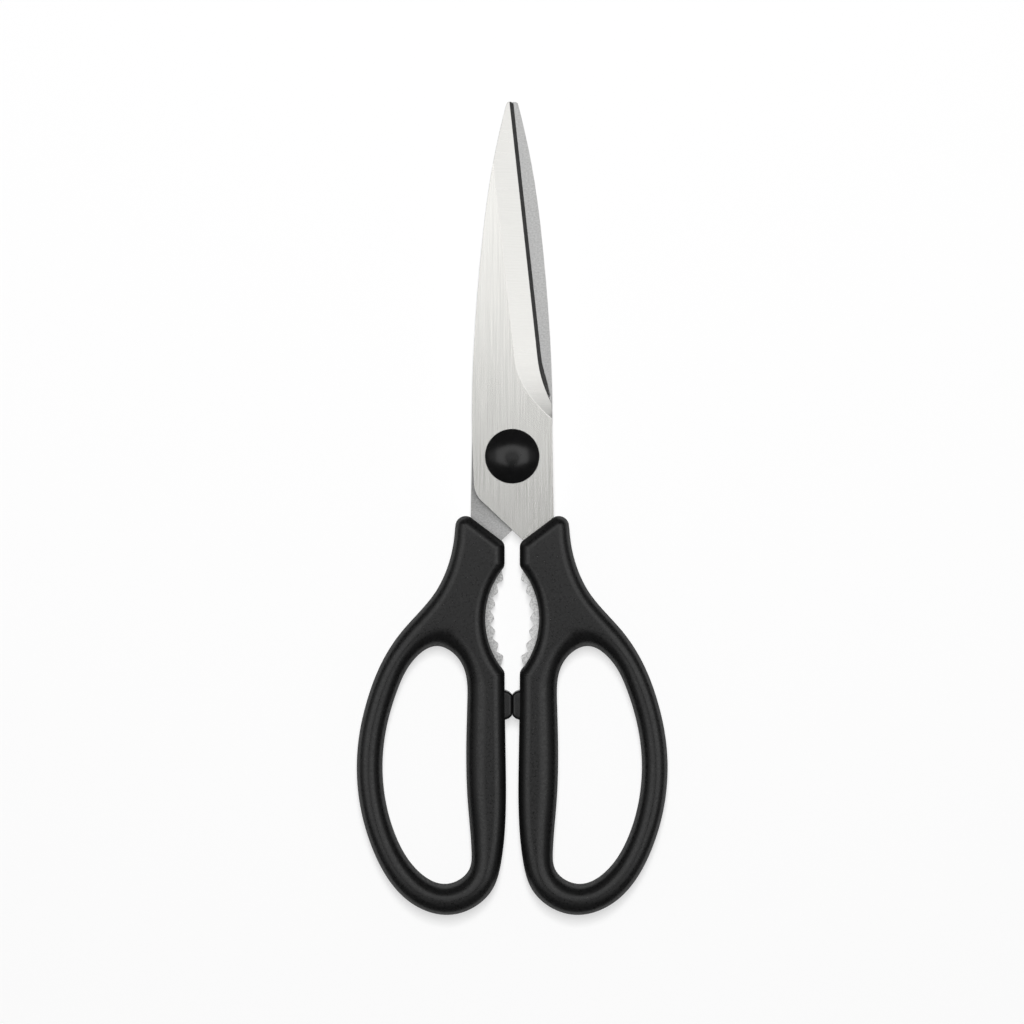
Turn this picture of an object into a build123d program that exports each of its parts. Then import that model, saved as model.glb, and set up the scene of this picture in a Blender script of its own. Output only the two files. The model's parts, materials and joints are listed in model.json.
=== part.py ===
from build123d import *
import math
import os

os.makedirs("parts", exist_ok=True)

# Kitchen shears, all sizes in millimetres.
# The working frame has the pivot at its centre and the tips along +Y.
# The front half has its blade above Z = 0 and its handle on the +X side.
# The rear half is the same half turned half a turn about the Y axis.
# The finished pieces are moved so that the origin is under the middle of the whole.

# Blade plate
blade_reach = 96.9
blade_half_width = 11.1
blade_thickness = 2.4
blade_gap = 0.1
heel_round = 7.0
throat_drop = 20.2
side_top_inset = 0.25
side_foot_flare = 0.45

# Spine of the blade, from the heel to the tip:
# shares of the reach along Y and of the half width across
spine_shares = (
    (-0.108, 0.925),
    (-0.022, 0.963),
    (0.08, 0.989),
    (0.328, 0.933),
    (0.582, 0.759),
    (0.776, 0.547),
    (0.943, 0.254),
    (0.994, 0.141),
)

# Cutting edge: a straight run from the tip, then a curve out to the side of the plate
edge_tip_offset = 0.36
edge_heel_offset = 7.9
edge_heel_reach = 27.4
edge_end_reach = 12.5
edge_curve_shares = ((0.5, 0.43), (0.92, 0.78))

# Ground faces: the wide bevel, and the steep facet along the edge.
# Each ends in the round run-out that its grinding wheel leaves.
bevel_width = 7.3
bevel_end_reach = 27.7
bevel_wheel_radius = 87.0
facet_width = 1.05
facet_height = 1.0
facet_end_reach = 27.4
facet_wheel_radius = 44.0
edge_land = 0.1

# Tang and toothed jaw, inside the handle
tang_inner_offset = 3.2
tang_foot_offset = 4.4
tang_neck_end = 29.6
tang_end_drop = 62.0
tang_end_width = 5.0
tang_jaw_width = 7.0
tang_round = 1.2
tang_hole_diameter = 3.2
tang_hole_shares = (0.12, 0.5, 0.84)

jaw_centre_drop = 44.2
jaw_tip_offset = 4.95
jaw_tip_radius = 23.6
jaw_half_length = 10.6
tooth_gap_count = 6
tooth_pitch = 3.6
tooth_depth_share = 0.32
tooth_flank_angle = 52.0
tooth_root_share = 0.055
tooth_crest_share = 1.5

# Handle outline
handle_thickness = 12.7
neck_gap_half = 2.07
neck_width = 13.35
bolster_drop = 23.7
bolster_rise = 10.1
bolster_round = 2.76
corner_round = 2.4
recess_depth = 5.3
recess_radius = 22.2
recess_centre_drop = 44.5

# Finger loop and the walls round it
bar_gap_half = 1.75
bar_wall = 10.75
loop_drop = 51.85
loop_length = 65.2
loop_width = 23.0
ring_wall = 6.9
heel_wall = 8.15
edge_round = 2.2
loop_round = 3.0

# Finger loop, clockwise from its top: shares of its width and of its length
loop_shares = (
    (0.348, 0.0),
    (0.633, 0.061),
    (0.823, 0.186),
    (0.96, 0.357),
    (1.0, 0.51),
    (0.965, 0.648),
    (0.823, 0.815),
    (0.59, 0.941),
    (0.244, 1.0),
    (-0.028, 0.941),
    (-0.06, 0.858),
    (-0.015, 0.648),
    (0.002, 0.418),
    (-0.011, 0.229),
    (0.019, 0.104),
    (0.13, 0.038),
)

# Stations round the loop, as shares of its circumference, that carry the outer wall,
# and at each the share of the way from the ring wall to the heel wall
ring_station_shares = (
    (0.08, 0.0),
    (0.14, 0.0),
    (0.20, 0.0),
    (0.26, 0.0),
    (0.32, 0.0),
    (0.38, 0.05),
    (0.43, 0.3),
    (0.475, 0.62),
    (0.52, 1.0),
    (0.56, 0.97),
    (0.585, 1.0),
)

# Where the bar stands furthest from its fellow and where nearest, down the loop
heel_gap_half = 2.2
heel_gap_share = 0.81
bar_gap_share = 0.5
bar_top_share = 0.75

# Shoulder between the neck and the ring: shares of the way across and down
shoulder_shares = (
    (0.025, 0.219),
    (0.129, 0.412),
    (0.266, 0.541),
    (0.481, 0.668),
    (0.727, 0.798),
)

# Soft skin over the stiff core
skin_thickness = 1.5
core_outline_steps = 24

# Pivot: keyed stud, riveted washer and snap-on cap
journal_diameter = 6.6
journal_clearance = 0.05
tenon_diameter = 6.0
tenon_flat_width = 4.8
stud_head_length = 10.5
stud_head_width = 5.6
stud_head_thickness = 1.5
stud_head_round = 0.3
head_clearance = 0.05
slot_clearance = 0.2
release_angle = 100.0
slot_angle = 90.0
rivet_neck_diameter = 4.4
rivet_head_diameter = 5.8
rivet_head_height = 0.5
washer_hub_diameter = 8.4
washer_hub_height = 0.45
washer_flange_diameter = 9.6
washer_flange_height = 0.5
fit_clearance = 0.03
cap_diameter = 14.9
cap_rim_height = 0.6
cap_dome_height = 2.8
cap_head_room = 0.1

# Bumpers between the handle bars
bumper_drop = 67.9
bumper_height = 8.0
bumper_base_length = 8.1
bumper_shoulder_length = 7.2
bumper_face_length = 5.4
bumper_shoulder_offset = 0.95
bumper_round = 0.45
bumper_gap = 0.1
bumper_seat_depth = 0.6
bumper_stem_diameter = 3.6
bumper_stem_length = 4.0

# One overrun for every cut
overrun = 5.0

tooth_depth = tooth_pitch * tooth_depth_share
blade_inner = blade_gap / 2
blade_outer = blade_inner + blade_thickness
neck_outer = neck_gap_half + neck_width
loop_inner = bar_gap_half + bar_wall


def prism(face, low, high):
    """A straight solid on a face drawn at Z = 0, between two heights."""
    return extrude(Pos(0, 0, low) * face, high - low)


def round_corners(solid, places, radius):
    """Round the upright edges nearest to the named places."""
    upright = solid.edges().filter_by(Axis.Z)
    nearest = [upright.sort_by_distance(Vector(*place))[0] for place in places]
    return fillet(nearest, radius)


def edge_tip():
    return Vector(edge_tip_offset, blade_reach * spine_shares[-1][0])


def edge_heel():
    return Vector(edge_heel_offset, edge_heel_reach)


def edge_point(reach):
    """The point of the straight cutting edge at a distance up from the pivot."""
    tip, heel = edge_tip(), edge_heel()
    return heel + (tip - heel) * ((reach - heel.Y) / (tip.Y - heel.Y))


def blade_face():
    """The plate from the tip to the handle, with its edge and heel."""
    spine_points = [(-blade_half_width * across, blade_reach * up) for up, across in spine_shares]
    heel_corner = Vector(*spine_points[0])
    throat = Vector(0, -throat_drop)
    diagonal = throat - heel_corner
    diagonal_end = throat + diagonal * (tang_inner_offset / diagonal.X)
    tip, heel = edge_tip(), edge_heel()
    side_top = Vector(blade_half_width - side_top_inset, edge_end_reach)
    side_foot = Vector(blade_half_width + side_foot_flare, -tang_neck_end)
    sweep = side_top - heel
    curve_points = [heel + Vector(sweep.X * across, sweep.Y * down) for across, down in edge_curve_shares]
    spine = Spline(*spine_points)
    nose = ThreePointArc(spine @ 1, ((spine @ 1).X / 2 + tip.X / 2, blade_reach), tip)
    edge = Line(tip, heel)
    side = Line(side_top, side_foot)
    curve = Spline(heel, *curve_points, side_top, tangents=(edge % 1, side % 0))
    foot = Line(side @ 1, (tang_inner_offset, -tang_neck_end))
    inside = Line(foot @ 1, diagonal_end)
    slant = Line(diagonal_end, heel_corner)
    return make_face(Curve() + [spine, nose, edge, curve, side, foot, inside, slant])


def jaw_circle_centre():
    return Vector(jaw_tip_offset - jaw_tip_radius, -jaw_centre_drop)


def tang_face():
    """The tang behind the jaw, narrowing to its end in the handle bar."""
    jaw_top = -jaw_centre_drop + jaw_half_length
    jaw_bottom = -jaw_centre_drop - jaw_half_length
    jaw_sweep = math.asin(jaw_half_length / jaw_tip_radius)
    jaw_start = jaw_tip_offset - jaw_tip_radius * (1 - math.cos(jaw_sweep))
    outline = Polyline(
        (tang_inner_offset, -tang_neck_end),
        (jaw_start, jaw_top),
        (jaw_start, jaw_bottom),
        (tang_foot_offset, -tang_end_drop),
        (tang_foot_offset + tang_end_width, -tang_end_drop),
        (jaw_tip_offset + tooth_depth + tang_jaw_width, -jaw_centre_drop),
        (blade_half_width, -tang_neck_end),
        close=True,
    )
    jaw_space = Pos(jaw_circle_centre()) * Circle(jaw_tip_radius)
    return make_face(outline) - jaw_space


def tooth_gap_turns():
    """Directions of the gaps between the teeth, seen from the centre of the jaw's arc."""
    middle = (tooth_gap_count - 1) / 2
    return [(index - middle) * tooth_pitch / jaw_tip_radius for index in range(tooth_gap_count)]


def on_jaw(turn, radius):
    """A place at a direction and a distance from the centre of the jaw's arc."""
    return jaw_circle_centre() + Vector(math.cos(turn), math.sin(turn)) * radius


def tooth_gap_face(turn):
    """One V-shaped gap, its point away from the centre of the jaw's arc."""
    point = on_jaw(turn, jaw_tip_radius + tooth_depth)
    flank = math.radians(tooth_flank_angle)
    length = 2 * tooth_depth / math.cos(flank)
    flanks = [Vector(math.cos(turn + lean), math.sin(turn + lean)) for lean in (-flank, flank)]
    return make_face(Polyline(point, *[point - along * length for along in flanks], close=True))


def tooth_corners():
    """The width of a tooth's land, and the corners where its land meets the gaps."""
    flank = math.radians(tooth_flank_angle)
    half_gap = math.asin((1 + tooth_depth / jaw_tip_radius) * math.sin(flank)) - flank
    turns = tooth_gap_turns()
    corners = [on_jaw(turn + half_gap, jaw_tip_radius) for turn in turns[:-1]]
    corners += [on_jaw(turn - half_gap, jaw_tip_radius) for turn in turns[1:]]
    return tooth_pitch - 2 * half_gap * jaw_tip_radius, corners


def tang_hole_places():
    """Centres of the holes that lock the tang in its core."""
    length = tang_end_drop - throat_drop
    middle = (tang_inner_offset + blade_half_width) / 2
    places = []
    for share in tang_hole_shares:
        drop = throat_drop + length * share
        from_centre = drop - jaw_centre_drop
        root = math.sqrt((jaw_tip_radius + tooth_depth) ** 2 - from_centre**2)
        behind_teeth = jaw_circle_centre().X + root + tang_jaw_width / 2
        places.append((max(middle, behind_teeth), -drop))
    return places


def grinding_cutter(start, height, slope, wheel_radius):
    """Everything above a sloping ground face that ends in a wheel's round run-out."""
    along = (edge_tip() - edge_heel()).normalized()
    across = Vector(along.Y, -along.X)
    down_slope = across * math.cos(slope) - Vector(0, 0, math.sin(slope))
    plane = Plane(origin=(start.X, start.Y, height), x_dir=along, z_dir=down_slope)
    room = blade_thickness + overrun
    back = math.sqrt(wheel_radius**2 - (wheel_radius - room) ** 2)
    bed = Line((0, 0), (blade_reach + overrun, 0))
    front = Line(bed @ 1, (blade_reach + overrun, room))
    roof = Line(front @ 1, (-back, room))
    run_out = RadiusArc(roof @ 1, (0, 0), -wheel_radius)
    side = make_face(Curve() + [bed, front, roof, run_out])
    return extrude(plane * side, blade_half_width + overrun, both=True)


def ground(plate):
    """The plate with its wide bevel and its steep facet."""
    along = (edge_tip() - edge_heel()).normalized()
    inward = Vector(-along.Y, along.X)
    bevel_slope = math.atan((blade_thickness - facet_height) / (bevel_width - facet_width))
    facet_slope = math.atan((facet_height - edge_land) / facet_width)
    bevel_start = edge_point(bevel_end_reach) + inward * bevel_width
    bevel = grinding_cutter(bevel_start, blade_outer, bevel_slope, bevel_wheel_radius)
    facet_start = edge_point(facet_end_reach)
    facet = grinding_cutter(facet_start, blade_inner + edge_land, facet_slope, facet_wheel_radius)
    return plate - bevel - facet


def blade_blank():
    """Blade, tang and jaw in one piece, without its pivot hole."""
    face = blade_face() + tang_face()
    for turn in tooth_gap_turns():
        face -= tooth_gap_face(turn)
    for place in tang_hole_places():
        face -= Pos(*place) * Circle(tang_hole_diameter / 2)
    plate = prism(face, blade_inner, blade_outer)
    heel_corner = (-blade_half_width * spine_shares[0][1], blade_reach * spine_shares[0][0])
    plate = round_corners(plate, [heel_corner], heel_round)
    ends = [(tang_foot_offset, -tang_end_drop), (tang_foot_offset + tang_end_width, -tang_end_drop)]
    plate = round_corners(plate, ends, tang_round)
    land, corners = tooth_corners()
    plate = round_corners(plate, corners, land * tooth_crest_share)
    roots = [on_jaw(turn, jaw_tip_radius + tooth_depth) for turn in tooth_gap_turns()]
    plate = round_corners(plate, roots, tooth_pitch * tooth_root_share)
    return ground(plate)


def loop_curve():
    """The rim of the finger loop."""
    corner = Vector(loop_inner, -loop_drop)
    points = [corner + Vector(loop_width * across, -loop_length * down) for across, down in loop_shares]
    return Spline(*points, periodic=True)


def beside(curve, station, distance):
    """A place to the left of a curve, square to it."""
    tangent = (curve % station).normalized()
    return (curve @ station) + Vector(-tangent.Y, tangent.X) * distance


def ring_points():
    """Points of the outer wall, set out square to the loop."""
    loop = loop_curve()
    points = []
    for station, share in ring_station_shares:
        wall = ring_wall + (heel_wall - ring_wall) * share
        points.append(beside(loop, station, wall))
    return points


def bolster_corners():
    """The inner and the outer end of the bolster's slanting top."""
    return Vector(neck_gap_half, -bolster_drop), Vector(neck_outer, bolster_rise - bolster_drop)


def outer_curve():
    """The outside of the handle, from the bolster round the ring and up the bar into the recess."""
    ring = ring_points()
    corner = bolster_corners()[1]
    reach = ring[0] - corner
    shoulder = [corner + Vector(reach.X * across, reach.Y * down) for across, down in shoulder_shares]
    bar_heel = Vector(heel_gap_half, -loop_drop - loop_length * heel_gap_share)
    bar_middle = Vector(bar_gap_half, -loop_drop - loop_length * bar_gap_share)
    bar_top = Vector(neck_gap_half, -recess_centre_drop - recess_radius * bar_top_share)
    inside_recess = Vector(neck_gap_half, -recess_centre_drop)
    return Spline(corner, *shoulder, *ring, bar_heel, bar_middle, bar_top, inside_recess)


def recess_face(inset):
    """The round recess over the jaw, larger by an inset."""
    centre = Vector(neck_gap_half + recess_depth - recess_radius, -recess_centre_drop)
    return Pos(centre) * Circle(recess_radius + inset)


def handle_face():
    """The handle seen from the front, without its rounded corners."""
    inner_corner, outer_corner = bolster_corners()
    outer = outer_curve()
    bar = Line(outer @ 1, inner_corner)
    top = Line(inner_corner, outer_corner)
    face = make_face(Curve() + [outer, bar, top])
    return face - recess_face(0) - make_face(Curve() + [loop_curve()])


def handle_corners():
    """The upright corners of the handle: two at the recess and one at the bolster's inner end."""
    half_chord = math.sqrt(recess_radius**2 - (recess_radius - recess_depth) ** 2)
    return [
        (neck_gap_half, -bolster_drop),
        (neck_gap_half, -recess_centre_drop + half_chord),
        (neck_gap_half, -recess_centre_drop - half_chord),
    ]


def handle_prism():
    plate = prism(handle_face(), -handle_thickness / 2, handle_thickness / 2)
    plate = round_corners(plate, [(neck_outer, bolster_rise - bolster_drop)], bolster_round)
    return round_corners(plate, handle_corners(), corner_round)


def rounded(plate, rim_radius, loop_radius):
    """A flat plate with a hole, rounded along its outer rims and along its hole."""
    ends = plate.faces().sort_by(Axis.Z)
    body = fillet(ends[0].outer_wire().edges() + ends[-1].outer_wire().edges(), rim_radius)
    ends = body.faces().sort_by(Axis.Z)
    return fillet(ends[0].inner_wires().edges() + ends[-1].inner_wires().edges(), loop_radius)


def core_solid():
    """The stiff core, one skin thickness inside the handle all round."""
    inner_corner, outer_corner = bolster_corners()
    outer, loop = outer_curve(), loop_curve()
    stations = [step / core_outline_steps for step in range(core_outline_steps + 1)]
    rim = Spline(*[beside(outer, station, -skin_thickness) for station in stations])
    bar = Line(rim @ 1, (neck_gap_half + skin_thickness, outer_corner.Y))
    top = Line(bar @ 1, rim @ 0)
    slant = Line(inner_corner, outer_corner)
    run = (slant % 0) * overrun
    near = [beside(slant, end, -skin_thickness) for end in (0, 1)]
    far = [beside(slant, end, bolster_rise) for end in (0, 1)]
    above = Polyline(near[0] - run, near[1] + run, far[1] + run, far[0] - run, close=True)
    hole = Spline(*[beside(loop, station, skin_thickness) for station in stations[:-1]], periodic=True)
    face = make_face(Curve() + [rim, bar, top]) - make_face(above) - recess_face(skin_thickness)
    half = handle_thickness / 2 - skin_thickness
    body = prism(face - make_face(Curve() + [hole]), -half, half)
    corner = (outer_corner.X - skin_thickness, outer_corner.Y)
    return round_corners(body, [corner], bolster_round - skin_thickness)


def bumper_profile():
    """Places along the bumper's axis: its face, the bar's surface, the seat and the stem's end."""
    bar_top_drop = recess_centre_drop + recess_radius * bar_top_share
    bar_middle_drop = loop_drop + loop_length * bar_gap_share
    way = (bumper_drop - bar_top_drop) / (bar_middle_drop - bar_top_drop)
    surface = neck_gap_half + (bar_gap_half - neck_gap_half) * way
    seat = surface + bumper_seat_depth
    return bumper_gap / 2, surface, seat, seat + bumper_stem_length


def rod(diameter, start, end):
    """A round bar along X at the height of the bumpers."""
    plane = Plane(origin=(start, -bumper_drop, 0), x_dir=(0, 1, 0), z_dir=(1, 0, 0))
    return extrude(plane * Circle(diameter / 2), end - start)


def bumper_solid():
    """A soft block that narrows to its face, with a stem that is pressed into the handle bar."""
    face, surface, seat, stem_end = bumper_profile()
    shoulder = face + bumper_shoulder_offset
    widths = (face, bumper_face_length), (shoulder, bumper_shoulder_length), (surface, bumper_base_length)
    upper, lower = [ThreePointArc(*[(x, side * width / 2) for x, width in widths]) for side in (1, -1)]
    sides = [Line(arc @ 1, (seat, (arc @ 1).Y)) for arc in (upper, lower)]
    crown = Line(upper @ 0, lower @ 0)
    back = Line(sides[0] @ 1, sides[1] @ 1)
    outline = Pos(0, -bumper_drop, 0) * make_face(Curve() + [crown, upper, lower, back, *sides])
    block = prism(outline, -bumper_height / 2, bumper_height / 2)
    ends = block.faces().sort_by(Axis.Z)
    block = fillet(ends[0].edges() + ends[-1].edges(), bumper_round)
    return block + rod(bumper_stem_diameter, seat, stem_end)


def bumper_socket():
    """The seat and the stem hole that the bumper fills."""
    face, surface, seat, stem_end = bumper_profile()
    mouth = Rectangle(2 * (seat - face), bumper_base_length + 2 * fit_clearance)
    half = bumper_height / 2 + fit_clearance
    pocket = prism(Pos(face, -bumper_drop, 0) * mouth, -half, half)
    return pocket + rod(bumper_stem_diameter + 2 * fit_clearance, seat, stem_end + fit_clearance)


def stud_head_face(clearance):
    """The oblong head's outline, with room round it where it passes through a slot."""
    return SlotOverall(stud_head_length + 2 * clearance, stud_head_width + 2 * clearance)


def tenon_face(clearance):
    """A round tenon with two flats."""
    flats = Rectangle(tenon_diameter + overrun, tenon_flat_width + 2 * clearance)
    return Circle(tenon_diameter / 2 + clearance) & flats


def stud_solid():
    """Winged head behind the rear blade, journal, keyed tenon and riveted front end."""
    head_top = -blade_outer - head_clearance
    wings = Rot(0, 0, slot_angle - release_angle) * stud_head_face(0)
    head = prism(wings, head_top - stud_head_thickness, head_top)
    head = fillet(head.faces().sort_by(Axis.Z)[0].edges(), stud_head_round)
    journal = prism(Circle(journal_diameter / 2), head_top, blade_inner)
    tenon = prism(tenon_face(0), blade_inner, blade_outer)
    washer_top = blade_outer + washer_hub_height + washer_flange_height
    neck = prism(Circle(rivet_neck_diameter / 2), blade_outer, washer_top)
    rivet = prism(Circle(rivet_head_diameter / 2), washer_top, washer_top + rivet_head_height)
    return head + journal + tenon + neck + rivet


def washer_solid():
    """A stepped washer under the riveted end, whose flange holds the cap."""
    flange_low = blade_outer + washer_hub_height
    hub = prism(Circle(washer_hub_diameter / 2), blade_outer, flange_low)
    flange = prism(Circle(washer_flange_diameter / 2), flange_low, flange_low + washer_flange_height)
    bore_radius = rivet_neck_diameter / 2 + fit_clearance
    return hub + flange - prism(Circle(bore_radius), blade_outer, flange_low + washer_flange_height)


def cap_solid():
    """A domed cap whose lip snaps under the washer's flange."""
    radius = cap_diameter / 2
    rim_top = blade_outer + cap_rim_height
    crown = rim_top + cap_dome_height
    ball_radius = (radius**2 + cap_dome_height**2) / (2 * cap_dome_height)
    base = Line((0, blade_outer), (radius, blade_outer))
    rim = Line(base @ 1, (radius, rim_top))
    dome = RadiusArc(rim @ 1, (0, crown), -ball_radius)
    middle = Line(dome @ 1, base @ 0)
    shell = revolve(Plane.XZ * make_face(Curve() + [base, rim, dome, middle]), Axis.Z)
    lip_top = blade_outer + washer_hub_height - fit_clearance
    ceiling = blade_outer + washer_hub_height + washer_flange_height + rivet_head_height + cap_head_room
    lip_space = prism(Circle(washer_hub_diameter / 2 + fit_clearance), blade_outer, lip_top)
    flange_space = prism(Circle(washer_flange_diameter / 2 + fit_clearance), lip_top, ceiling)
    return shell - lip_space - flange_space


def turned(solid):
    """The same piece in the rear half."""
    return Rot(0, 180, 0) * solid


def front_blade_hole():
    return prism(tenon_face(fit_clearance), blade_inner, blade_outer)


def rear_blade_hole():
    """A running bore with two slots that let the stud's head out at the release angle."""
    slots = Rot(0, 0, slot_angle) * stud_head_face(slot_clearance)
    keyhole = Circle(journal_diameter / 2 + journal_clearance) + slots
    return prism(keyhole, -blade_outer, -blade_inner)


blank = blade_blank()
plate = handle_prism()
full_core = core_solid()
socket = bumper_socket()
grip = rounded(plate, edge_round, loop_round) - full_core - blank - socket
core = full_core - blank - socket
bumper = bumper_solid()

pieces = {
    "front_blade": blank - front_blade_hole(),
    "rear_blade": turned(blank) - rear_blade_hole(),
    "pivot_stud": stud_solid(),
    "rivet_washer": washer_solid(),
    "pivot_cap": cap_solid(),
    "front_core": core,
    "rear_core": turned(core),
    "front_grip": grip,
    "rear_grip": turned(grip),
    "front_bumper": bumper,
    "rear_bumper": turned(bumper),
}

# The origin goes under the middle of the whole, at the height it rests on
whole = Compound(list(pieces.values())).bounding_box()
middle = whole.center()
place = Pos(-middle.X, -middle.Y, -whole.min.Z)
for name, solid in pieces.items():
    export_step(place * solid, f"parts/{name}.step")
print(f"pivot at {-middle.Y:.3f} along Y, shear plane at {-whole.min.Z:.3f} up, size {whole.size}")
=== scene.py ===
# %% [markdown]
# These are kitchen shears that come apart for washing: two ground steel blades on a keyed
# stud, a domed cap over the pivot, soft black handles with a toothed jaw between them, and
# two small bumpers that stop the handles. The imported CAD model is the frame. It is loaded
# first, because every piece below is put in its coordinates, in metres, and rides on one of
# its two moving halves.

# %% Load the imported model
import json
import math

import bmesh
import bpy
import numpy as np
from mathutils import Matrix, Vector
from mathutils.geometry import interpolate_bezier, intersect_line_line_2d


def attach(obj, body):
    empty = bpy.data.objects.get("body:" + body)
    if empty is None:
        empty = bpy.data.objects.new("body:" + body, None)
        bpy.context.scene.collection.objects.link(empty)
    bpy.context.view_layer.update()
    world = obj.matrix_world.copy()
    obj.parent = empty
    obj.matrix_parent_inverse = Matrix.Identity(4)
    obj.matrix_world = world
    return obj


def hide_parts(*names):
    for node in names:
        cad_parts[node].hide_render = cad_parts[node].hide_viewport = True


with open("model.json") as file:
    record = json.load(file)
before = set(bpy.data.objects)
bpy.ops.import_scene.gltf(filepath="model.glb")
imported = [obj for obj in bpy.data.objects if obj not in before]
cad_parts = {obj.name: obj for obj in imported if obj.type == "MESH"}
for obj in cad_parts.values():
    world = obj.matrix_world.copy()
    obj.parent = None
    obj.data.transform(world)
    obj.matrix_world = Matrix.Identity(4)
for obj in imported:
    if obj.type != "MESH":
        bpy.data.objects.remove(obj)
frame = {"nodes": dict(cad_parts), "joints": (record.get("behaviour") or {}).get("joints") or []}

scene = bpy.context.scene
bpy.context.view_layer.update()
print("CAD nodes:", ", ".join(sorted(frame["nodes"])))

# %% [markdown]
# The photograph looks straight down on shears that lie flat. A long lens from a good
# distance shows hardly any of the side walls, so the camera is a 180 mm lens 1.4 m above
# the middle of the shears. The scale is that of the photograph: 1024 pixels show 280 mm.
# The camera is moved by a few pixels instead of shifted, to put the shears where they are
# in the frame.

# %% Camera
mm = 0.001
photo_pixel = 0.2734 * mm
photo_pixels = 1024
sensor_width = 36
camera_distance = 1.4
camera_moved_pixels = (-0.2, -4.1)
middle_height = 6.35 * mm

camera_data = bpy.data.cameras.new("camera")
camera_data.sensor_width = sensor_width
camera_data.lens = sensor_width * camera_distance / (photo_pixels * photo_pixel)
camera = bpy.data.objects.new("camera", camera_data)
camera_x, camera_y = (pixels * photo_pixel for pixels in camera_moved_pixels)
camera.location = (camera_x, camera_y, middle_height + camera_distance)
scene.collection.objects.link(camera)
scene.camera = camera
print(f"camera lens {camera_data.lens:.1f} mm")

# %% [markdown]
# The highlights in the photograph give the lighting away: two soft spots side by side on
# the cap, a bright bevel that leans to the right, and flats that are bright at the tips and
# grey at the pivot, where they mirror the camera. So there are two large soft boxes left
# and right of the camera, and a third that fills the gap between them beyond the tips. Two
# dimmer ones further out light the outer rims of the rings. All else above the floor is
# dark, which gives the dark lines along the handle rims and on the steep facet of the edge.
# These five only make reflections. The light that matt surfaces get, and the shadows, come
# from a sixth one, a little beyond the tips: the photograph's shadows lie only below the
# handles.

# %% Soft boxes and surroundings
lamp_height = 1.6

# Left, right, near and far edge in metres, and brightness
reflected_boxes = {
    "left": ((-1.6, -0.28, -0.58, 0.80), 1.33),
    "right": ((0.27, 1.6, -0.58, 0.80), 1.43),
    "beyond": ((-0.28, 0.27, 0.068, 0.80), 1.3),
    "far_left": ((-4.2, -1.6, -0.6, 0.8), 0.42),
    "far_right": ((1.6, 4.2, -0.6, 0.8), 0.2),
}

shadow_box = (-0.12, 0.12, 0.0, 0.60)
shadow_box_brightness = 58.0
surroundings_colour = (0.07, 0.07, 0.071, 1)


def soft_box(name, edges, brightness):
    """A level area lamp between two x and two y positions, as bright as a lit sheet."""
    left, right, near, far = edges
    lamp_data = bpy.data.lights.new(f"soft_box_{name}", "AREA")
    lamp_data.shape = "RECTANGLE"
    lamp_data.size = right - left
    lamp_data.size_y = far - near
    lamp_data.energy = math.pi * lamp_data.size * lamp_data.size_y * brightness
    lamp = bpy.data.objects.new(f"soft_box_{name}", lamp_data)
    lamp.location = ((left + right) / 2, (near + far) / 2, lamp_height)
    scene.collection.objects.link(lamp)
    return lamp


for name, (edges, brightness) in reflected_boxes.items():
    soft_box(name, edges, brightness).visible_diffuse = False
soft_box("overhead", shadow_box, shadow_box_brightness).visible_glossy = False

world = bpy.data.worlds.new("dim_studio")
world.use_nodes = True
world.node_tree.nodes["Background"].inputs["Color"].default_value = surroundings_colour
scene.world = world
scene.view_settings.view_transform = "Standard"

# %% [markdown]
# A node material is a small network. The helpers below add one node and set its inputs, do
# a sum, lay a noise pattern on the piece's own coordinates, stretched where brushing or
# grinding made lines, and turn such a pattern into a range of values or colours.

# %% Material helpers
def feed(material, socket, value):
    """Lead an output into a socket, or set the socket to a value."""
    if isinstance(value, bpy.types.NodeSocket):
        material.node_tree.links.new(value, socket)
    else:
        socket.default_value = value


def add_node(material, kind, **inputs):
    """A node of a material, with named inputs set to values or linked to outputs."""
    node = material.node_tree.nodes.new(kind)
    for name, value in inputs.items():
        feed(material, node.inputs[name.replace("_", " ")], value)
    return node


def arithmetic(material, operation, *values):
    """The result of a math operation on two values or outputs."""
    node = add_node(material, "ShaderNodeMath")
    node.operation = operation
    for socket, value in zip(node.inputs, values):
        feed(material, socket, value)
    return node.outputs["Value"]


def pattern(material, scale, stretch=(1, 1, 1), turn=0.0, detail=2.0, roughness=0.5):
    """Noise on the piece's own coordinates: repeats per metre, stretched along some axes."""
    place = add_node(material, "ShaderNodeTexCoord").outputs["Object"]
    turned = add_node(material, "ShaderNodeMapping", Vector=place, Rotation=(0, 0, turn))
    sized = add_node(material, "ShaderNodeMapping", Vector=turned.outputs[0], Scale=stretch)
    noise = add_node(
        material, "ShaderNodeTexNoise", Vector=sized.outputs[0], Scale=scale, Detail=detail,
        Roughness=roughness,
    )
    return noise.outputs["Fac"]


def between(material, value, low, high, start=0.3, end=0.7):
    """A pattern turned into numbers between two limits."""
    node = add_node(material, "ShaderNodeMapRange", Value=value)
    for name, number in (("From Min", start), ("From Max", end), ("To Min", low), ("To Max", high)):
        node.inputs[name].default_value = number
    return node.outputs["Result"]


def blend_colours(material, value, first, second):
    """A colour between two, led by a pattern."""
    node = add_node(material, "ShaderNodeMix")
    node.data_type = "RGBA"
    sockets = {socket.identifier: socket for socket in node.inputs}
    feed(material, sockets["Factor_Float"], value)
    feed(material, sockets["A_Color"], (*first, 1))
    feed(material, sockets["B_Color"], (*second, 1))
    return next(socket for socket in node.outputs if socket.identifier == "Result_Color")


def new_material(name, **constants):
    """A material with its shader, and with the shader's constant values set."""
    material = bpy.data.materials.new(name)
    material.use_nodes = True
    shader = material.node_tree.nodes["Principled BSDF"]
    for socket, value in constants.items():
        shader.inputs[socket.replace("_", " ")].default_value = value
    return material


def connect(material, socket, output):
    """Lead an output into the material's shader."""
    shader = material.node_tree.nodes["Principled BSDF"]
    material.node_tree.links.new(output, shader.inputs[socket])


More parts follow.
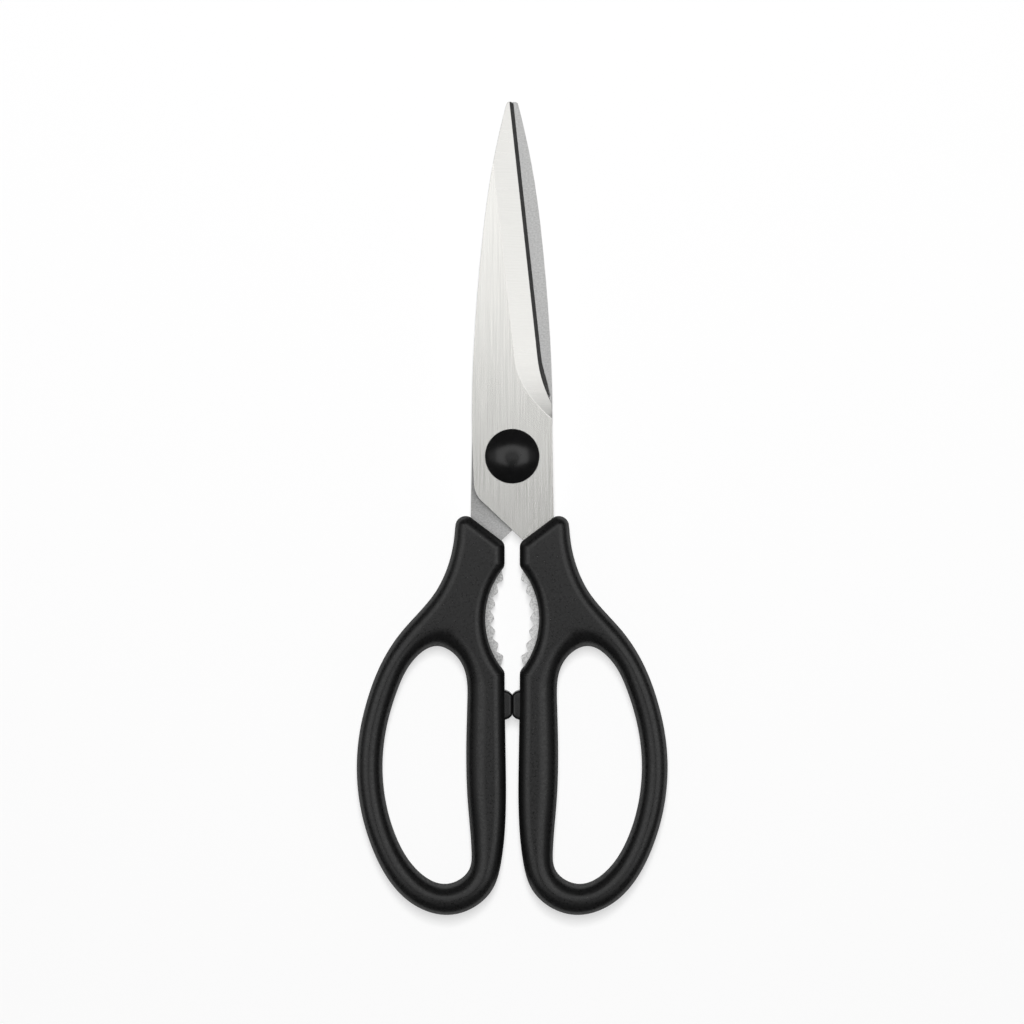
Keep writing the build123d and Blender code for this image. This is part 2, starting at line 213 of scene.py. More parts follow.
def bump(material, height, strength, distance):
    """Fine relief, given by the height of its bumps in metres."""
    node = add_node(material, "ShaderNodeBump", Height=height, Strength=strength, Distance=distance)
    connect(material, "Normal", node.outputs["Normal"])


print("material helpers ready")

# %% [markdown]
# The floor is a plain white sheet. In the photograph it is almost pure white with only a
# faint shadow, so for the camera and for reflections part of its white is its own glow.
# For all other light it is ordinary matt paper, which throws some light back up under the
# rounded handles. It lies a hair below them, so that no two faces share a plane.

# %% Floor
floor_half = 6.0
floor_colour = (0.38, 0.38, 0.38, 1)
floor_glow = 0.60
floor_drop = 0.02 * mm

bm = bmesh.new()
bmesh.ops.create_grid(bm, x_segments=1, y_segments=1, size=floor_half)
floor_mesh = bpy.data.meshes.new("floor")
bm.to_mesh(floor_mesh)
bm.free()
floor = bpy.data.objects.new("floor", floor_mesh)
floor.location.z = -floor_drop
scene.collection.objects.link(floor)

paper = new_material(
    "white_paper", Base_Color=floor_colour, Roughness=0.9, Specular_IOR_Level=0.0,
    Emission_Color=(1, 1, 1, 1),
)
ray = add_node(paper, "ShaderNodeLightPath").outputs
seen = arithmetic(paper, "MAXIMUM", ray["Is Camera Ray"], ray["Is Glossy Ray"])
seen_or_through = arithmetic(paper, "MAXIMUM", seen, ray["Is Transmission Ray"])
connect(paper, "Emission Strength", arithmetic(paper, "MULTIPLY", seen_or_through, floor_glow))
floor_mesh.materials.append(paper)
print(f"floor {2 * floor_half:.0f} m wide")

# %% [markdown]
# A finished piece is always made in the same way: the bmesh becomes a mesh, gets its
# materials, rides on the half of the shears that carries it, and hides the CAD node that it
# stands for. The pieces are drawn round the pivot in millimetres, because that is how the
# shears are measured, and are put in place and into metres at the end. The pivot is where
# the frame's one joint lies. The rear half is the front half turned half a turn about its
# length.

# %% Finishing a piece
pivot = Vector(frame["joints"][0]["pos_m"])
front_place = Matrix.Translation(pivot) @ Matrix.Scale(mm, 4)
rear_place = front_place @ Matrix.Rotation(math.pi, 4, "Y")
halves = (("front", front_place), ("rear", rear_place))
large_faces_lead = 100


def finished_piece(bm, name, materials, body, node):
    """Turn a bmesh that is in place into a named piece that stands for a CAD node."""
    for face in bm.faces:
        face.smooth = True
    mesh = bpy.data.meshes.new(name)
    bm.to_mesh(mesh)
    bm.free()
    for material in materials:
        mesh.materials.append(material)
    piece = bpy.data.objects.new(name, mesh)
    scene.collection.objects.link(piece)
    evened = piece.modifiers.new("flat_faces_stay_flat", "WEIGHTED_NORMAL")
    evened.keep_sharp = True
    evened.weight = large_faces_lead
    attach(piece, body)
    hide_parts(node)
    print(f"{name}: {len(mesh.polygons)} faces on {body}")


def place_in_half(bm, place):
    """Move a drawing from millimetres round the pivot to its place in the model."""
    bmesh.ops.transform(bm, matrix=place, verts=bm.verts)


# %% [markdown]
# Both blades are stamped from the same sheet, brushed along their length, and then ground:
# a wide bevel whose fine scratches run across it, and a steep polished facet along the
# cutting edge. Brushing spreads a reflection across the scratches, which is what the
# anisotropy of the shader does. The lines themselves are noise, stretched a long way along
# the scratches. Near the pivot, the line between flat and bevel is burnished. The inner
# faces are ground flat and duller. Round the pivot their colour is darkened by painted shade,
# where the other blade and the handle shadow them. The jaw's teeth have the even grain of
# blasted steel.

# %% Steel finishes
steel_cloud_scale = 90.0
steel_cloud_stretch = (1.0, 0.35, 1.0)
steel_cloud_share = 0.2
steel_relief = 0.02 * mm
# How much the painted shade round the pivot darkens the colour of the inner faces
pivot_painted_shade = -0.35


def steel(
    name, dark, light, roughness, stretch, turn, lines, contrast=(0, 1), painted_shade_radii=None, **constants
):
    """Ground or brushed steel with its lines, faint clouds, a fine relief, and painted shade round
    the pivot where asked.
    """
    material = new_material(name, Metallic=1.0, **constants)
    fine = pattern(material, 1.0, stretch, turn, roughness=0.65)
    cloud = pattern(material, steel_cloud_scale, steel_cloud_stretch, detail=3.0)
    mixed = add_node(material, "ShaderNodeMix", Factor=steel_cloud_share, A=fine, B=cloud)
    shade = between(material, mixed.outputs["Result"], *contrast)
    # Painted shade: the colour darkens towards the pivot, between two distances from it, where the
    # other blade and the handle shadow the face
    if painted_shade_radii:
        place = add_node(material, "ShaderNodeTexCoord").outputs["Object"]
        from_pivot = add_node(material, "ShaderNodeVectorMath", Vector=place)
        from_pivot.operation = "DISTANCE"
        from_pivot.inputs[1].default_value = pivot
        painted_shade = between(material, from_pivot.outputs["Value"], pivot_painted_shade, 0.0, *painted_shade_radii)
        shade = arithmetic(material, "ADD", shade, painted_shade)
    connect(material, "Base Color", blend_colours(material, shade, dark, light))
    connect(material, "Roughness", between(material, fine, *roughness))
    bump(material, fine, lines, steel_relief)
    tangent = add_node(material, "ShaderNodeTangent")
    tangent.direction_type = "UV_MAP"
    tangent.uv_map = "grain"
    connect(material, "Tangent", tangent.outputs["Tangent"])
    return material


# Dark and light shade, limits of roughness, lines per metre along each axis, how far the
# lines are turned, and how strong their relief is
blade_finishes = {
    "flat": steel(
        "brushed_steel", (0.705, 0.70, 0.672), (0.835, 0.829, 0.80), (0.24, 0.26),
        (2600, 48, 2600), 0.0, 0.02, Anisotropic=0.3,
    ),
    "bevel": steel(
        "cross_ground_steel", (0.63, 0.626, 0.603), (0.712, 0.707, 0.685), (0.27, 0.34),
        (90, 2300, 90), 0.03, 0.08, Anisotropic=0.3, Anisotropic_Rotation=0.25,
    ),
    "ridge": steel(
        "burnished_steel", (0.67, 0.665, 0.64), (0.72, 0.715, 0.69), (0.26, 0.30),
        (900, 900, 900), 0.0, 0.02,
    ),
    "facet": steel(
        "polished_steel", (0.56, 0.56, 0.555), (0.66, 0.66, 0.655), (0.09, 0.15),
        (2200, 120, 2200), 0.11, 0.03,
    ),
    # The inner faces get painted shade round the pivot, from 14.5 mm out to 21 mm
    "inner": steel(
        "inner_steel", (0.32, 0.32, 0.316), (0.79, 0.79, 0.785), (0.34, 0.40),
        (1900, 2400, 1900), 0.0, 0.06, contrast=(0.25, 0.75), painted_shade_radii=(14.5 * mm, 21 * mm),
        Anisotropic=0.2, Anisotropic_Rotation=0.25,
    ),
    "jaw": steel(
        "blasted_steel", (0.45, 0.45, 0.447), (1.0, 1.0, 0.99), (0.36, 0.44),
        (2100, 2100, 2100), 0.0, 0.25,
    ),
    "side": steel(
        "edge_steel", (0.46, 0.46, 0.455), (0.58, 0.58, 0.57), (0.25, 0.38),
        (900, 900, 2600), 0.0, 0.12,
    ),
}
finish_names = list(blade_finishes)
print("steel finishes:", ", ".join(finish_names))

# %% [markdown]
# The CAD blades have the right shape already, with the hollow run-outs that the grinding
# wheel leaves. What they lack is the tiny rounding that every handled edge has and that
# shows as a bright hairline. So each blade is a merged copy of its CAD mesh: it is cut where
# the jaw begins, its faces are sorted into finishes by the way they face and where they lie,
# and the edges between them are rounded by less than a tenth of a millimetre. The line
# between flat and bevel is rounded too, on the stretch near the pivot that is burnished, and
# crisp from there to the tip. A cut across the blade just below the place where that line
# meets the spine keeps the smooth shading of the rounded spine off the two faces. The
# cutting edge itself stays sharp.

# %% Blades
weld = 0.0002 * mm
same_plane = math.radians(0.3)
cut_tolerance = 0.00002 * mm
edge_rounding = 0.08 * mm
rounded_from = math.radians(24)
ridge_width = 0.1 * mm
ridge_end = pivot.y + 34 * mm
below_spine = pivot.y + 78 * mm
jaw_start = pivot.y - 27 * mm
inner_depth = 0.3 * mm
land_height = 0.3 * mm
grain_scale = 10

# How upright the normals of the faces are at least
level, on_bevel, on_facet = 0.9998, 0.95, 0.5


def finish_of(face):
    """The finish of a blade face, told by how it leans and how near the other blade it is."""
    upright = abs(face.normal.z)
    middle = face.calc_center_median()
    if upright > level and middle.y < jaw_start:
        return "jaw"
    if upright > level:
        return "inner" if abs(middle.z - middle_height) < inner_depth else "flat"
    if upright > on_bevel:
        return "bevel"
    return "facet" if upright > on_facet else "side"


def is_ridge(edge):
    """True for the burnished stretch of the line between the brushed flat and the bevel."""
    finishes = {finish_names[face.material_index] for face in edge.link_faces}
    middle_y = sum(vert.co.y for vert in edge.verts) / 2
    return finishes == {"flat", "bevel"} and middle_y < ridge_end


def is_land(face):
    """True for the hairline of a face that is the cutting edge itself."""
    heights = [vert.co.z for vert in face.verts]
    return abs(face.normal.z) < on_facet and max(heights) - min(heights) < land_height


def is_rounded(edge):
    """True for an edge that handling and tumbling have rounded."""
    if not edge.is_manifold or any(is_land(face) for face in edge.link_faces):
        return False
    return edge.calc_face_angle() > rounded_from


def round_edges(bm, edges, width, material, clamp):
    """Round edges of a blade in two steps."""
    bmesh.ops.bevel(
        bm, geom=edges, offset=width, offset_type="OFFSET", affect="EDGES", segments=2,
        profile=0.5, material=material, clamp_overlap=clamp,
    )


for half, place in halves:
    node = f"{half}_blade"
    bm = bmesh.new()
    bm.from_mesh(frame["nodes"][node].data)
    bmesh.ops.remove_doubles(bm, verts=bm.verts, dist=weld)
    bmesh.ops.dissolve_limit(bm, angle_limit=same_plane, verts=bm.verts, edges=bm.edges)
    for cut in (jaw_start, ridge_end, below_spine):
        bmesh.ops.bisect_plane(
            bm, geom=bm.verts[:] + bm.edges[:] + bm.faces[:], dist=cut_tolerance,
            plane_co=(0, cut, 0), plane_no=(0, 1, 0),
        )
    for face in bm.faces:
        face.material_index = finish_names.index(finish_of(face))
    for edge in bm.edges:
        if edge.is_manifold:
            first, second = edge.link_faces
            edge.smooth = first.material_index == second.material_index
    worn = [edge for edge in bm.edges if is_rounded(edge)]
    for edge in worn:
        edge.smooth = True
    round_edges(bm, worn, edge_rounding, -1, False)
    ridge = [edge for edge in bm.edges if is_ridge(edge)]
    round_edges(bm, ridge, ridge_width, finish_names.index("ridge"), True)
    grain = bm.loops.layers.uv.new("grain")
    for face in bm.faces:
        for loop in face.loops:
            loop[grain].uv = loop.vert.co.xy * grain_scale
    name, finishes = f"{half}_ground_blade", blade_finishes.values()
    finished_piece(bm, name, finishes, f"{half}_half", node)

# %% [markdown]
# The soft handles are moulded over the tangs. Seen from above, each is a flat neck that
# runs into a ring round the finger loop, and all its rims are rounded, more on the outside
# of the ring and over the top of the loop than along the gap between the handles. The
# places below are the ones that the CAD sketch is drawn through. Blender's automatic
# handles would make a slightly lumpy line of them, so each place first gets the tangent
# that keeps the bend of the line even on both of its sides, as a bent strip of wood has
# it. That takes one small set of linear equations, and the tangents become the handles.

# %% Handle outline
neck_gap = 2.07
neck_width = 13.35
bolster_drop = 23.7
bolster_rise = 10.1
loop_corner = Vector((12.5, -51.85, 0))
loop_width = 23.0
loop_length = 65.2
ring_wall = 6.9
heel_wall = 8.15
bolster_round = 2.76
corner_round = 2.4
recess_radius = 22.2
recess_depth = 5.3
recess_centre = Vector((neck_gap + recess_depth - recess_radius, -44.5, 0))

# Places clockwise round the finger loop, from its top: shares of its width and length
loop_shares = (
    (0.348, 0.0), (0.633, 0.061), (0.823, 0.186), (0.96, 0.357), (1.0, 0.51), (0.965, 0.648),
    (0.823, 0.815), (0.59, 0.941), (0.244, 1.0), (-0.028, 0.941), (-0.06, 0.858), (-0.015, 0.648),
    (0.002, 0.418), (-0.011, 0.229), (0.019, 0.104), (0.13, 0.038),
)
# Share of the way round the loop, and how far the wall has thickened to the heel's there
ring_station_shares = (
    (0.08, 0.0), (0.14, 0.0), (0.20, 0.0), (0.26, 0.0), (0.32, 0.0), (0.38, 0.05),
    (0.43, 0.3), (0.475, 0.62), (0.52, 1.0), (0.56, 0.97), (0.585, 1.0),
)
# Places from the bolster's outer corner to the ring: shares of the way across and down
shoulder_shares = ((0.025, 0.219), (0.129, 0.412), (0.266, 0.541), (0.481, 0.668), (0.727, 0.798))
# Places up the inner side of the bar
bar_places = ((2.2, -104.66), (1.75, -84.45), (neck_gap, -61.15), (neck_gap, recess_centre.y))


def even_tangents(places, closed):
    """The tangent at each place, and the distance from each place to the next."""
    count = len(places)
    spot = np.array([place[:] for place in places])
    step = np.roll(spot, -1, axis=0) - spot
    length = np.linalg.norm(step, axis=1)
    slope = step / length[:, None]
    matrix, right = np.zeros((count, count)), np.zeros((count, 3))
    for i in range(count):
        before, after = length[i - 1], length[i]
        matrix[i, i - 1] = after
        matrix[i, i] = 2 * (before + after)
        matrix[i, (i + 1) % count] = before
        right[i] = 3 * (after * slope[i - 1] + before * slope[i])
    if not closed:
        matrix[0], matrix[-1] = 0, 0
        matrix[0, :2], matrix[-1, -2:] = (2, 1), (1, 2)
        right[0], right[-1] = 3 * slope[0], 3 * slope[-2]
    return [Vector(tangent) for tangent in np.linalg.solve(matrix, right)], length


def line_through(places, closed, resolution=12):
    """Points along a smooth Bezier curve through the places."""
    tangents, lengths = even_tangents(places, closed)
    points = []
    for i in range(len(places) - (not closed)):
        following = (i + 1) % len(places)
        out, into = [tangents[j] * lengths[i] / 3 for j in (i, following)]
        start, end = places[i], places[following]
        points += interpolate_bezier(start, start + out, end - into, end, resolution + 1)[:-1]
    return points if closed else points + [places[-1]]


def stations(path):
    """The share of a closed path's length at which each of its points lies."""
    lengths = [0.0]
    for first, second in zip(path, path[1:] + path[:1]):
        lengths.append(lengths[-1] + (second - first).length)
    return [length / lengths[-1] for length in lengths]


def left_of(path, index):
    """The direction square to a closed path, to its left, at one of its points."""
    along = path[(index + 1) % len(path)] - path[index - 1]
    return Vector((-along.y, along.x, 0)).normalized()


def spread(corner, width, height, shares):
    """Places at shares of a width and a height, from a corner."""
    return [corner + Vector((width * across, height * down, 0)) for across, down in shares]


loop_path = line_through(spread(loop_corner, loop_width, -loop_length, loop_shares), True)
loop_stations = stations(loop_path)

ring_places = []
for station, share in ring_station_shares:
    index = next(i for i, reached in enumerate(loop_stations) if reached >= station)
    wall = ring_wall + (heel_wall - ring_wall) * share
    ring_places.append(loop_path[index] + left_of(loop_path, index) * wall)

outer_corner = Vector((neck_gap + neck_width, bolster_rise - bolster_drop, 0))
inner_corner = Vector((neck_gap, -bolster_drop, 0))
reach = ring_places[0] - outer_corner
shoulder_places = spread(outer_corner, reach.x, reach.y, shoulder_shares)
outer_places = [outer_corner, *shoulder_places, *ring_places]
outer_line = line_through(outer_places + [Vector((*place, 0)) for place in bar_places], False)
print(f"loop line {len(loop_path)} points, outer line {len(outer_line)} points")

# %% [markdown]
# The outline closes over the round recess for the jaw and over the slanting end of the
# bolster. The recess is a vertex spun about the recess's centre. The corners are rounded
# by a short Bezier arc between two places at the same distance before and after each
# corner.

# %% Closed outline
recess_steps = 40
corner_step = math.radians(8)
corner_clearance = 1.02
bar_overlap = 0.2
bar_reach = 1

half_chord = math.sqrt(recess_radius**2 - (neck_gap - recess_centre.x) ** 2)
recess_low = Vector((neck_gap, recess_centre.y - half_chord, 0))
recess_high = Vector((neck_gap, recess_centre.y + half_chord, 0))
recess_turn = 2 * math.asin(half_chord / recess_radius)

bm = bmesh.new()
start = bm.verts.new(recess_low)
bmesh.ops.spin(
    bm, geom=[start], cent=recess_centre, axis=(0, 0, 1), angle=recess_turn, steps=recess_steps,
    use_merge=False,
)
recess_line = sorted((v.co.copy() for v in bm.verts), key=lambda place: place.y)
bm.free()


def straight(first, last, spacing=1.0):
    """Points along a straight line, with its last point left out."""
    steps = max(2, round((last - first).length / spacing))
    return [first.lerp(last, step / steps) for step in range(steps)]


def nearest_to(path, places):
    """The index of the path's point that is nearest to each place."""
    return [min(range(len(path)), key=lambda i: (path[i] - place).length) for place in places]


def rounded_corner(path, corner, radius):
    """A closed path with the corner nearest to a place rounded by a Bezier arc."""
    index = nearest_to(path, [corner])[0]
    path = path[index:] + path[:index]
    before, after = (path[0] - path[-2]).normalized(), (path[2] - path[0]).normalized()
    turn = before.angle(after)
    trim = radius * math.tan(turn / 2)
    kept = [point for point in path if (point - path[0]).length > trim * corner_clearance]
    arc_start, arc_end = path[0] - before * trim, path[0] + after * trim
    arm = radius * 4 / 3 * math.tan(turn / 4)
    steps = max(4, round(turn / corner_step))
    handles = arc_start + before * arm, arc_end - after * arm
    return kept + interpolate_bezier(arc_start, *handles, arc_end, steps + 1)


def along_bar(point):
    """Whether a point of the outer line lies where the recess takes the place of the bar."""
    return point.y > recess_low.y - bar_overlap and point.x < neck_gap + bar_reach


outline = [point for point in outer_line if not along_bar(point)]
outline += recess_line[:-1]
outline += straight(recess_high, inner_corner)
outline += straight(inner_corner, outer_corner)
outline_corners = [outer_corner, inner_corner, recess_high, recess_low]
for corner in outline_corners:
    radius = bolster_round if corner is outer_corner else corner_round
    outline = rounded_corner(outline, corner, radius)
start = nearest_to(outline, [outer_corner])[0]
outline = outline[start:] + outline[:start]
print(f"outline of {len(outline)} points")

# %% [markdown]
# Each rim starts as a row of edges at half the handle's height. It is extruded up the
# wall and then over the rounding in small turns, and each point moves in by its own share:
# how wide and how deep the rounding is changes along the rim. Both rims end on the flat
# top, which is filled between them. The lower half is the mirror image of the upper one.

# %% Handles
handle_half = 6.35
rounding_steps = 9
outer_room_share = 0.46
loop_room_share = 0.52
row_weld = 0.002
mirror_weld = 0.0001

# Share of the way round the outline from the bolster's outer corner, width, depth
outer_rounding = (
    (0.0, 3.0, 2.9), (0.03, 3.4, 3.2), (0.16, 3.5, 3.3), (0.22, 3.1, 3.1), (0.36, 3.1, 3.1),
    (0.44, 3.9, 3.2), (0.50, 4.1, 2.9), (0.56, 3.8, 3.2), (0.62, 3.4, 3.2), (0.70, 3.3, 3.1),
    (0.93, 3.0, 2.9), (0.97, 3.0, 2.9), (1.0, 3.0, 2.9),
)
# Share of the way round the loop from its top, width, depth
loop_rounding = (
    (0.0, 6.2, 4.8), (0.06, 5.0, 4.4), (0.12, 3.9, 3.9), (0.40, 3.8, 3.8), (0.50, 3.8, 3.9),
    (0.60, 5.0, 4.2), (0.86, 5.6, 4.4), (0.93, 5.6, 4.4), (0.97, 6.0, 4.6), (1.0, 6.2, 4.8),
)


def from_table(table, station):
    """Width and depth of the rounding at a station, eased between the table's rows."""
    for (start, *low), (end, *high) in zip(table, table[1:]):
        if station <= end:
            share = (station - start) / (end - start)
            eased = share * share * (3 - 2 * share)
            return [a + (b - a) * eased for a, b in zip(low, high)]
    return table[-1][1:]


def room_beside(path, other):
    """How far each point of a path is from the other path."""
    return [min((point - place).length for place in other) for point in path]


def mitred(places, corners, reach=16):
    """A moved-in path, with what has crossed over itself at a tight corner drawn together."""
    places = list(places)
    for corner in corners:
        before = range(corner - reach, corner)
        after = range(corner + reach, corner, -1)
        for i, j in ((i, j) for i in before for j in after):
            ends = [places[k % len(places)] for k in (i, i + 1, j - 1, j)]
            crossing = intersect_line_line_2d(*(end.xy for end in ends))
            if crossing and i + 1 < j - 1:
                for k in range(i + 1, j):
                    places[k % len(places)] = Vector((*crossing, 0))
                break
    return places


def add_rim(bm, top, path, other, side, table, room_share, corners=()):
    """Extrude a rim over a closed path up to the flat top."""
    index_of = bm.verts.layers.int["place"]
    inward = [left_of(path, i) * side for i in range(len(path))]
    sizes = []
    for station, room in zip(stations(path), room_beside(path, other)):
        width, depth = from_table(table, station)
        sizes.append((min(width, room * room_share), depth))
    row = []
    for i, point in enumerate(path):
        vert = bm.verts.new(point)
        vert[index_of] = i
        row.append(vert)
    edges = [bm.edges.new((row[i - 1], row[i])) for i in range(len(row))]
    for step in range(rounding_steps + 1):
        turn = math.radians(90) * step / rounding_steps
        grown = bmesh.ops.extrude_edge_only(bm, edges=edges)["geom"]
        new_verts = [item for item in grown if isinstance(item, bmesh.types.BMVert)]
        new_edges = [item for item in grown if isinstance(item, bmesh.types.BMEdge)]
        edges = [edge for edge in new_edges if edge.is_boundary]
        in_share, down_share = 1 - math.cos(turn), 1 - math.sin(turn)
        moved = [path[i] + inward[i] * sizes[i][0] * in_share for i in range(len(path))]
        moved = mitred(moved, corners)
        for vert in new_verts:
            i = vert[index_of]
            vert.co = moved[i] + Vector((0, 0, top - sizes[i][1] * down_share))


def rimmed_body(top, *rims):
    """A body with rims up to a flat top between them, and with a lower half that mirrors it."""
    bm = bmesh.new()
    bm.verts.layers.int.new("place")
    for rim in rims:
        add_rim(bm, top, *rim)
    bmesh.ops.remove_doubles(bm, verts=bm.verts, dist=row_weld)
    heights = {edge: min(vert.co.z for vert in edge.verts) for edge in bm.edges if edge.is_boundary}
    crest = [edge for edge, height in heights.items() if height > top - row_weld / 2]
    bmesh.ops.triangle_fill(bm, use_beauty=True, use_dissolve=False, edges=crest, normal=(0, 0, 1))
    everything = bm.verts[:] + bm.edges[:] + bm.faces[:]
    bmesh.ops.mirror(bm, geom=everything, matrix=Matrix(), merge_dist=mirror_weld, axis="Z")
    bmesh.ops.recalc_face_normals(bm, faces=bm.faces)
    return bm


def print_soundness(name, bm):
    """Say whether a body that is in place is closed, and how large it is."""
    open_edges = sum(not edge.is_manifold for edge in bm.edges)
    print(f"{name}: open edges {open_edges}, volume {bm.calc_volume() / mm**3:.0f} mm3")


rubber_blacks = (0.0035, 0.0035, 0.0036), (0.005, 0.005, 0.0051)
rubber_roughness = (0.25, 0.42)
steep_roughness = 0.5
steep_from, steep_to = 0.3, 0.9
mottle_scale, rubber_grain_scale = 1500.0, 3300.0
rubber_grain_strength = 0.35
rubber_relief = 0.03 * mm

rubber = new_material("handle_rubber", Specular_IOR_Level=0.5)
mottle = pattern(rubber, mottle_scale)
connect(rubber, "Base Color", blend_colours(rubber, between(rubber, mottle, 0, 1), *rubber_blacks))
steepness = add_node(rubber, "ShaderNodeLayerWeight", Blend=0.5).outputs["Facing"]
dulled = between(rubber, steepness, 0, steep_roughness, steep_from, steep_to)
mottled = between(rubber, mottle, *rubber_roughness)
connect(rubber, "Roughness", arithmetic(rubber, "ADD", mottled, dulled))
rubber_grain = pattern(rubber, rubber_grain_scale, roughness=0.6)
bump(rubber, rubber_grain, rubber_grain_strength, rubber_relief)

outer_rim = (
    outline, loop_path, -1, outer_rounding, outer_room_share, nearest_to(outline, outline_corners)
)
loop_rim = (loop_path, outline, 1, loop_rounding, loop_room_share)
for half, place in halves:
    bm = rimmed_body(handle_half, outer_rim, loop_rim)
    place_in_half(bm, place)
    name = f"{half}_soft_handle"
    print_soundness(name, bm)
    finished_piece(bm, name, [rubber], f"{half}_half", f"{half}_grip")

# %% [markdown]
# The cap is drawn as half a section, with both corners of its rim rounded, and spun about
# its axis. It is a low dome with a short upright rim that snaps over the washer, of the
# same black as the handles but smoother. The dome is part of a ball, and a little flatter
# round its crown: there it mirrors the dark lens, between its two highlights.

# %% Pivot cap
cap_radius = 7.45
cap_foot = 2.45
cap_rim = 3.05
cap_crown = 5.85
cap_rim_round = 0.22
crown_spread = 2.3
dome_steps = 26
cap_turn_steps = 96
pole_weld = 0.0001
plastic_cloud_scale, plastic_grain_scale = 600.0, 5200.0
plastic_relief = 0.02 * mm


def lathe(bm, axis, steps):
    """Spin the drawn section a full turn about an axis through the pivot and close its poles."""
    bmesh.ops.spin(
        bm, geom=bm.verts[:] + bm.edges[:], cent=(0, 0, 0), axis=axis, angle=math.tau,
        steps=steps, use_merge=True,
    )
    bmesh.ops.remove_doubles(bm, verts=bm.verts, dist=pole_weld)
    bmesh.ops.recalc_face_normals(bm, faces=bm.faces)


def draw_section(bm, places):
    """Edges through the places of half a section, and their vertices."""
    verts = [bm.verts.new(place) for place in places]
    for first, second in zip(verts, verts[1:]):
        bm.edges.new((first, second))
    return verts


def round_vertices(bm, verts, radius):
    """Round corners of a drawn section."""
    bmesh.ops.bevel(
        bm, geom=verts, offset=radius, offset_type="OFFSET", affect="VERTICES", segments=5,
        profile=0.5, material=-1,
    )


def smooth_plastic(name, dark, light, roughness, grain_strength):
    """Black moulded plastic or rubber, finer in grain than the handles."""
    material = new_material(name, Specular_IOR_Level=0.5)
    cloud = pattern(material, plastic_cloud_scale, detail=3.0)
    shade = between(material, cloud, 0, 1)
    connect(material, "Base Color", blend_colours(material, shade, dark, light))
    connect(material, "Roughness", between(material, cloud, *roughness))
    bump(material, pattern(material, plastic_grain_scale), grain_strength, plastic_relief)
    return material


cap_plastic = smooth_plastic(
    "cap_plastic", (0.0025, 0.0025, 0.0026), (0.004, 0.004, 0.0041), (0.245, 0.275), 0.12
)

dome_rise = cap_crown - cap_rim
ball_radius = (cap_radius**2 + dome_rise**2) / (2 * dome_rise)


def dome_height(radius):
    """The height of the dome at a distance from its axis."""
    lowered = crown_spread**2 / (2 * ball_radius) * math.exp(-((radius / crown_spread) ** 2))
    return cap_crown - ball_radius + math.sqrt(ball_radius**2 - radius**2) - lowered


dome_radii = [cap_radius * step / dome_steps for step in range(dome_steps + 1)]
dome_places = [(radius, 0, dome_height(radius)) for radius in dome_radii]
bm = bmesh.new()
section = draw_section(bm, [*dome_places, (cap_radius, 0, cap_foot), (0, 0, cap_foot)])
round_vertices(bm, section[-3:-1], cap_rim_round)
lathe(bm, (0, 0, 1), cap_turn_steps)
place_in_half(bm, front_place)
finished_piece(bm, "domed_cap", [cap_plastic], "front_half", "pivot_cap")

# %% [markdown]
# The bumpers are small blocks of hard rubber, pressed into the handle bars. They narrow to
# the face with which they meet when the shears are closed. Their outline is drawn in the
# plane of the shears with rounded corners, and gets the same kind of rim as the handles.
# The dark line between the two blocks is where two such rims meet.

# %% Bumpers
bumper_drop = 67.9
pad_half_height = 4.0
pad_middle = Vector((1.5, 0, 0))
pad_rounding = 0.8
pad_corner_radius = 0.9
pad_spacing = 0.1
pad_rounding_table = ((0.0, pad_rounding, pad_rounding), (1.0, pad_rounding, pad_rounding))
pad_half_outline = ((0.0, -2.85), (0.95, -3.68), (1.95, -4.05), (2.9, -4.05))
bumper_rubber = smooth_plastic("bumper_rubber", *rubber_blacks, (0.30, 0.38), 0.15)

pad_corners = [Vector((x, y, 0)) for x, y in pad_half_outline]
pad_corners += [Vector((x, -y, 0)) for x, y in reversed(pad_half_outline)]
pad_path = []
for first, last in zip(pad_corners, pad_corners[1:] + pad_corners[:1]):
    pad_path += straight(first, last, pad_spacing)
for corner in pad_corners:
    pad_path = rounded_corner(pad_path, corner, pad_corner_radius)

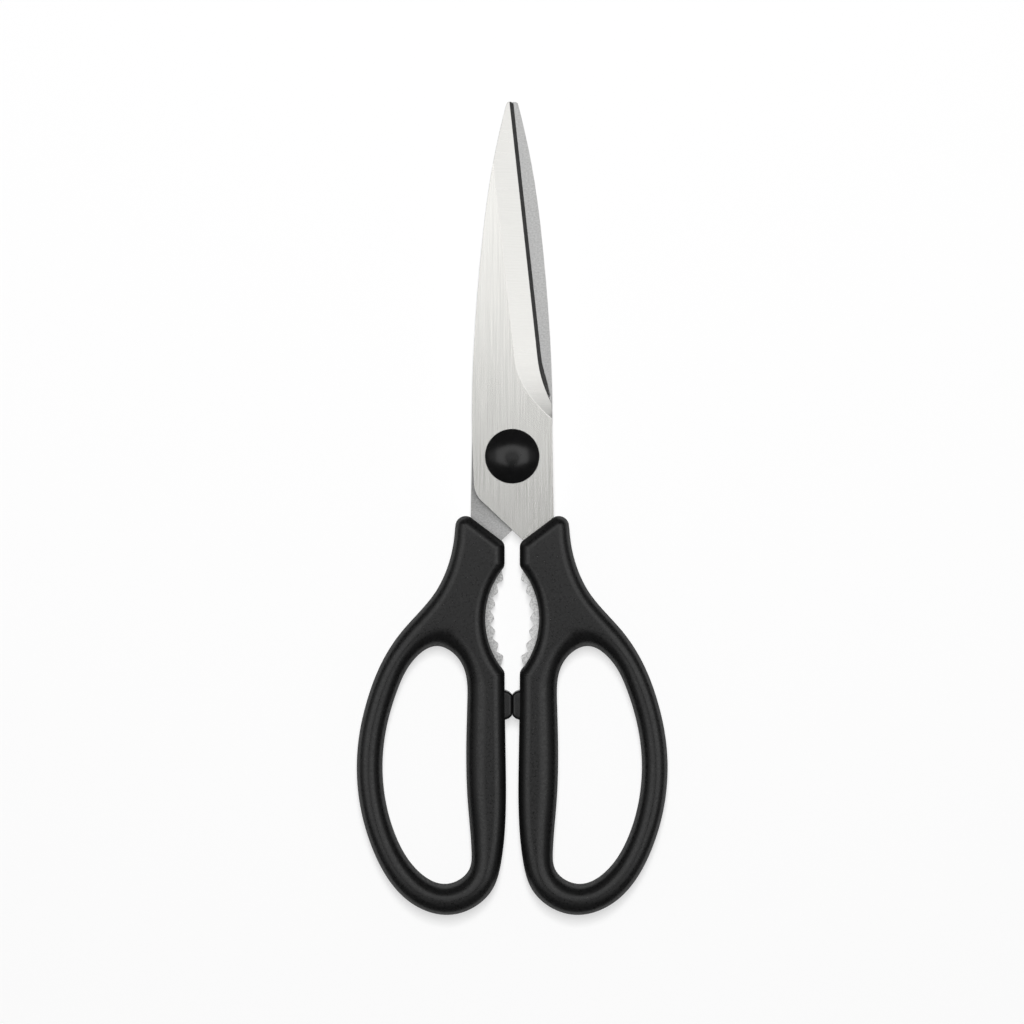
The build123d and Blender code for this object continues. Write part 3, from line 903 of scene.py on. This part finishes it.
pad_rim = (pad_path, [pad_middle], 1, pad_rounding_table, 1, nearest_to(pad_path, pad_corners))
for half, place in halves:
    bm = rimmed_body(pad_half_height, pad_rim)
    bmesh.ops.translate(bm, vec=(0, -bumper_drop, 0), verts=bm.verts)
    place_in_half(bm, place)
    name = f"{half}_pad"
    print_soundness(name, bm)
    finished_piece(bm, name, [bumper_rubber], f"{half}_half", f"{half}_bumper")

# %% [markdown]
# The stud's winged head is the only part of the pivot that shows from behind. It is turned
# on a lathe, so its fine lines are rings about the pivot. The washer under the cap is
# stamped and the cores are moulded from filled nylon, and neither is seen. All four keep
# their CAD meshes and get a finish of their own.

# %% Stud, washer and cores
turned_cloud_scale = 900.0
turned_relief = 0.01 * mm
turned_relief_strength = 0.15
ring_distortion = 1.5


def turned_steel(name, dark, light, roughness, rings):
    """Steel with the rings that a turning tool leaves about the pivot."""
    material = new_material(name, Metallic=1.0)
    place = add_node(material, "ShaderNodeTexCoord").outputs["Object"]
    centred = add_node(material, "ShaderNodeMapping", Vector=place, Location=(0, -pivot.y, 0))
    wave = add_node(
        material, "ShaderNodeTexWave", Vector=centred.outputs[0], Scale=rings,
        Distortion=ring_distortion, Detail=2.0,
    )
    wave.wave_type = "RINGS"
    wave.rings_direction = "Z"
    ringed = wave.outputs["Fac"]
    shade = between(material, pattern(material, turned_cloud_scale, detail=3.0), 0, 1)
    connect(material, "Base Color", blend_colours(material, shade, dark, light))
    connect(material, "Roughness", between(material, ringed, *roughness, 0, 1))
    bump(material, ringed, turned_relief_strength, turned_relief)
    return material


core_plastic = smooth_plastic(
    "core_nylon", (0.020, 0.020, 0.021), (0.035, 0.035, 0.036), (0.45, 0.6), 0.3
)
node_finishes = {
    "pivot_stud": turned_steel(
        "turned_steel", (0.48, 0.48, 0.47), (0.60, 0.60, 0.59), (0.22, 0.34), 700.0
    ),
    "rivet_washer": turned_steel(
        "washer_steel", (0.42, 0.42, 0.41), (0.55, 0.55, 0.54), (0.30, 0.42), 500.0
    ),
    "front_core": core_plastic,
    "rear_core": core_plastic,
}
for node, material in node_finishes.items():
    for slot in frame["nodes"][node].material_slots:
        slot.material = material
print("finished CAD nodes:", ", ".join(node_finishes))
